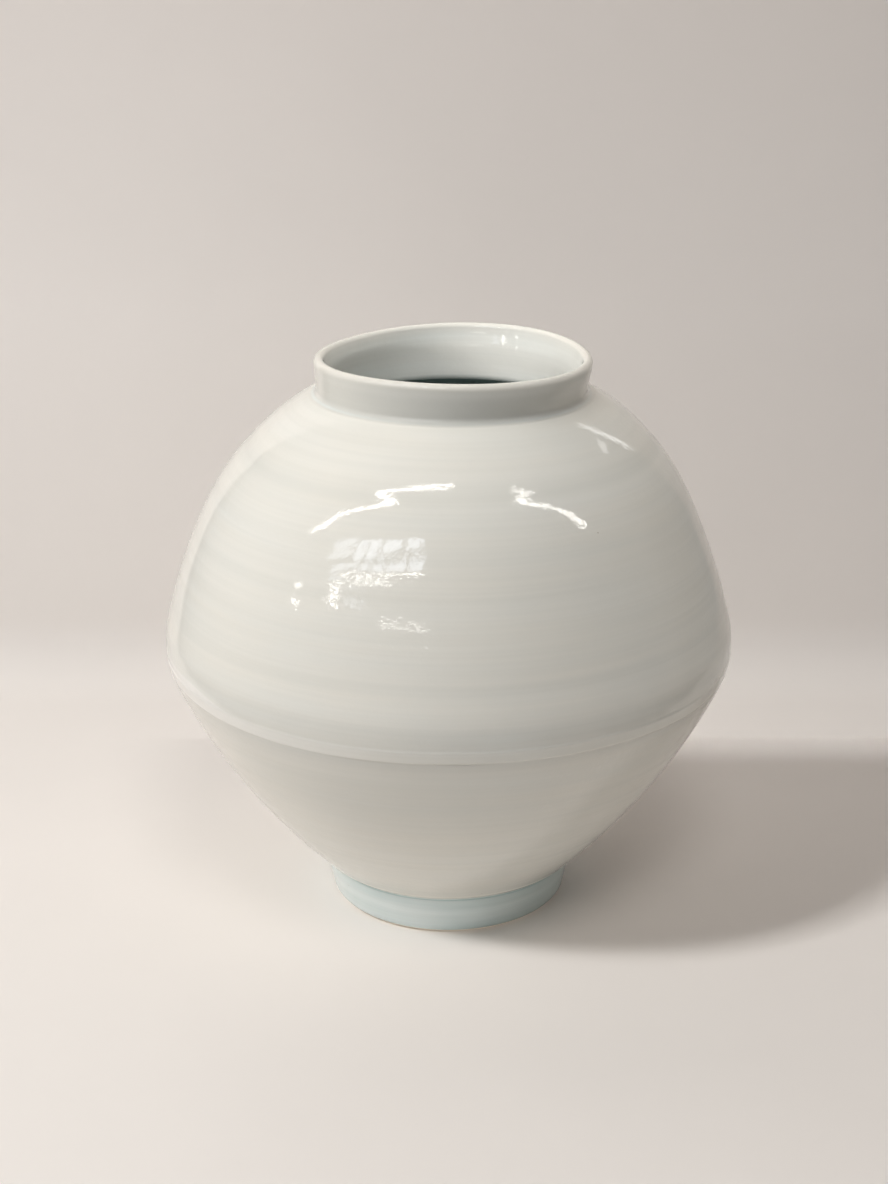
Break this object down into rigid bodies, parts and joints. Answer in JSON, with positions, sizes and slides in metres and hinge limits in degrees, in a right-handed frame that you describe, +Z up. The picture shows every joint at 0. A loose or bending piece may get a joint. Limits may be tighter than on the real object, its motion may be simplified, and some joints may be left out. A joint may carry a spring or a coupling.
{
  "type": "moon jar",
  "caption": "Round white glazed stoneware jar joined at the belly from thrown bowls, with a short upright collar round a wide mouth and a tapered foot ring, for display or storage.",
  "frame": {"origin": "centre of the foot ring's contact plane, on the axis of turning", "axes": "+Z up along the axis of turning, +X to the right and -Y towards the viewer in the picture's view"},
  "size_m": [0.4, 0.4, 0.3995],
  "materials": {
    "clay": "fired white clay, bare and matt where it shows at the foot's edge",
    "slip": "fired luting slip, matt, under the glaze",
    "glaze": "glossy milky white glaze with a faint blue green where it pools"
  },
  "bodies": {
    "root": {"foot_ring": "clay", "foot_slip": "slip", "lower_bowl": "clay", "belly_slip": "slip", "upper_bowl": "clay", "collar_slip": "slip", "mouth_collar": "clay", "outer_glaze": "glaze", "inner_glaze": "glaze", "foot_well_glaze": "glaze"}
  },
  "joints": []
}
